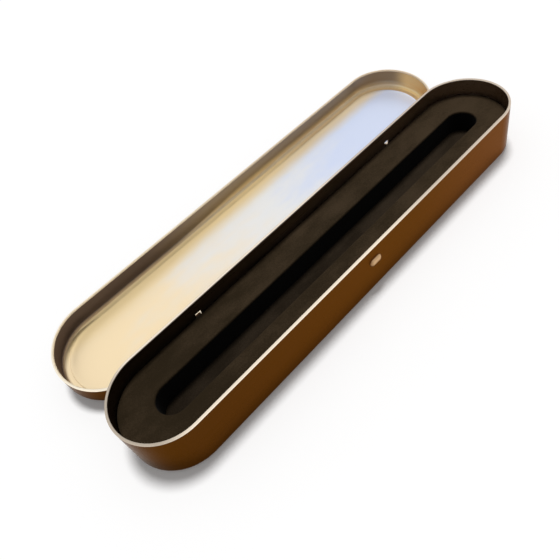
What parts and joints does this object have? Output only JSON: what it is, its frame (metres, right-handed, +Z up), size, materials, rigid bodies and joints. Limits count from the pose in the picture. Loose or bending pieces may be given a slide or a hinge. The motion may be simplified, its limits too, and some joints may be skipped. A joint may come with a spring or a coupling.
{
  "type": "hinged pen tin",
  "caption": "Long slim pen tin with full-round ends, a lid on wire pins that opens flat behind it, and a foam bed with a long pocket.",
  "frame": {"origin": "on the surface that the case stands on, under the middle of the tray", "axes": "+X along the case, +Y towards the hinge and the open lid, +Z up; the lid is drawn open, at rest on its stops"},
  "size_m": [0.1776, 0.0696, 0.0182],
  "materials": {
    "tray_metal": "satin bronze-brown lacquer on thin steel sheet, rim bright",
    "lid_metal": "satin silver lacquer inside, bronze-brown outside, thin steel sheet",
    "pin_wire": "drawn steel wire",
    "foam": "matt black-brown soft foam, fine open cells"
  },
  "bodies": {
    "case_base": {"tray": "tray_metal", "hinge_pin_left": "pin_wire", "hinge_pin_right": "pin_wire", "foam_bed": "foam", "foam_pad": "foam"},
    "case_lid": {"lid": "lid_metal"}
  },
  "joints": [
    {"name": "lid_hinge", "type": "hinge", "parent": "case_base", "child": "case_lid", "pos_m": [0, 0.017, 0.00945], "axis": [1, 0, 0], "range_deg": [0, 171.5]}
  ]
}
